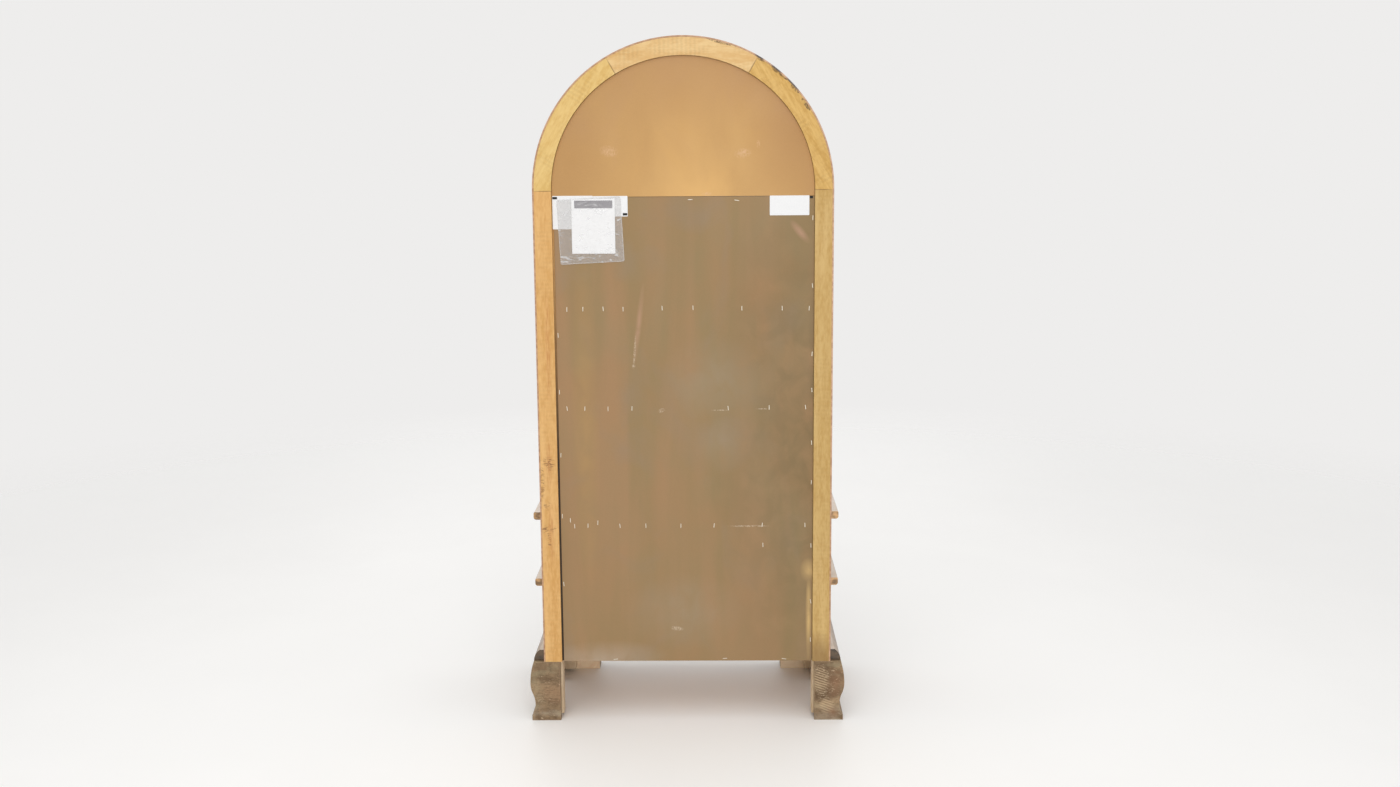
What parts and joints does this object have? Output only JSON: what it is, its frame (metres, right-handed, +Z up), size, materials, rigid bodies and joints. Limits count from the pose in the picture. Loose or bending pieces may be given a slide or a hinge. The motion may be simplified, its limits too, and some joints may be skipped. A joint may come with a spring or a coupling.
{
  "type": "display cabinet",
  "caption": "Free-standing arch-topped display cabinet with arched glazed doors before fixed shelves, drawers below, a stapled back, mouldings and ogee bracket feet.",
  "frame": {"origin": "on the floor under the middle of the overall box", "axes": "+Z up, the doors face -Y, +X is right for someone facing the doors"},
  "size_m": [0.838, 0.444, 1.7869],
  "materials": {
    "raw_wood": "raw sawn softwood, unfinished",
    "finished_wood": "brown stain, rubbed satin, worn at the edges",
    "inner_wood": "brown stain, satin",
    "foot_wood": "grey-brown stain, rubbed",
    "hardboard": "brown panel, matt, streaked",
    "upper_hardboard": "plain pale brown panel, matt",
    "drawer_wood": "plain pale wood",
    "glass": "clear polished",
    "aged_brass": "aged, dark in the hollows",
    "catch_plastic": "brown moulded",
    "clear_film": "clear creased film"
  },
  "bodies": {
    "case": {"arch_lining": "inner_wood", "arch_skin": "finished_wood", "back_arch_left": "raw_wood", "back_arch_right": "raw_wood", "back_arch_top": "raw_wood", "back_panel_lower": "hardboard", "back_panel_upper": "upper_hardboard", "back_post_left": "raw_wood", "back_post_right": "raw_wood", "base_moulding": "finished_wood", "base_rail": "finished_wood", "bottom_panel": "inner_wood", "deck": "inner_wood", "document_pouch": "clear_film", "door_catch": "catch_plastic", "drawer_rail": "finished_wood", "drawer_runners": "drawer_wood", "foot_back_left": "foot_wood", "foot_back_right": "foot_wood", "foot_blocks": "raw_wood", "foot_front_left": "foot_wood", "foot_front_right": "foot_wood", "front_arch": "finished_wood", "front_post_left": "finished_wood", "front_post_right": "finished_wood", "hinges_on_posts": "aged_brass", "inner_rails": "raw_wood", "middle_moulding": "finished_wood", "shelf_cleats": "inner_wood", "shelf_lower": "inner_wood", "shelf_middle": "inner_wood", "shelf_upper": "inner_wood", "side_linings": "inner_wood", "side_skin_left": "finished_wood", "side_skin_right": "finished_wood", "waist_moulding": "finished_wood", "waist_rail": "finished_wood"},
    "door_right": {"door_right_arch_rail": "finished_wood", "door_right_bottom_rail": "finished_wood", "door_right_glass": "glass", "door_right_glazing_beads": "finished_wood", "door_right_hinge_leaves": "aged_brass", "door_right_hinge_stile": "finished_wood", "door_right_knob": "aged_brass", "door_right_meeting_stile": "finished_wood"},
    "door_left": {"door_left_arch_rail": "finished_wood", "door_left_bottom_rail": "finished_wood", "door_left_glass": "glass", "door_left_glazing_beads": "finished_wood", "door_left_hinge_leaves": "aged_brass", "door_left_hinge_stile": "finished_wood", "door_left_knob": "aged_brass", "door_left_meeting_stile": "finished_wood"},
    "drawer_upper": {"drawer_upper_box": "drawer_wood", "drawer_upper_front": "finished_wood", "drawer_upper_knobs": "aged_brass"},
    "drawer_lower": {"drawer_lower_box": "drawer_wood", "drawer_lower_front": "finished_wood", "drawer_lower_knobs": "aged_brass"}
  },
  "joints": [
    {"name": "door_right_hinge", "type": "hinge", "parent": "case", "child": "door_right", "pos_m": [0.3195, -0.1882, 0.99], "axis": [0, 0, 1], "range_deg": [0, 110]},
    {"name": "door_left_hinge", "type": "hinge", "parent": "case", "child": "door_left", "pos_m": [-0.3195, -0.1882, 0.99], "axis": [0, 0, -1], "range_deg": [0, 110]},
    {"name": "drawer_upper_slide", "type": "slide", "parent": "case", "child": "drawer_upper", "axis": [0, -1, 0], "range_m": [0, 0.26]},
    {"name": "drawer_lower_slide", "type": "slide", "parent": "case", "child": "drawer_lower", "axis": [0, -1, 0], "range_m": [0, 0.26]}
  ]
}
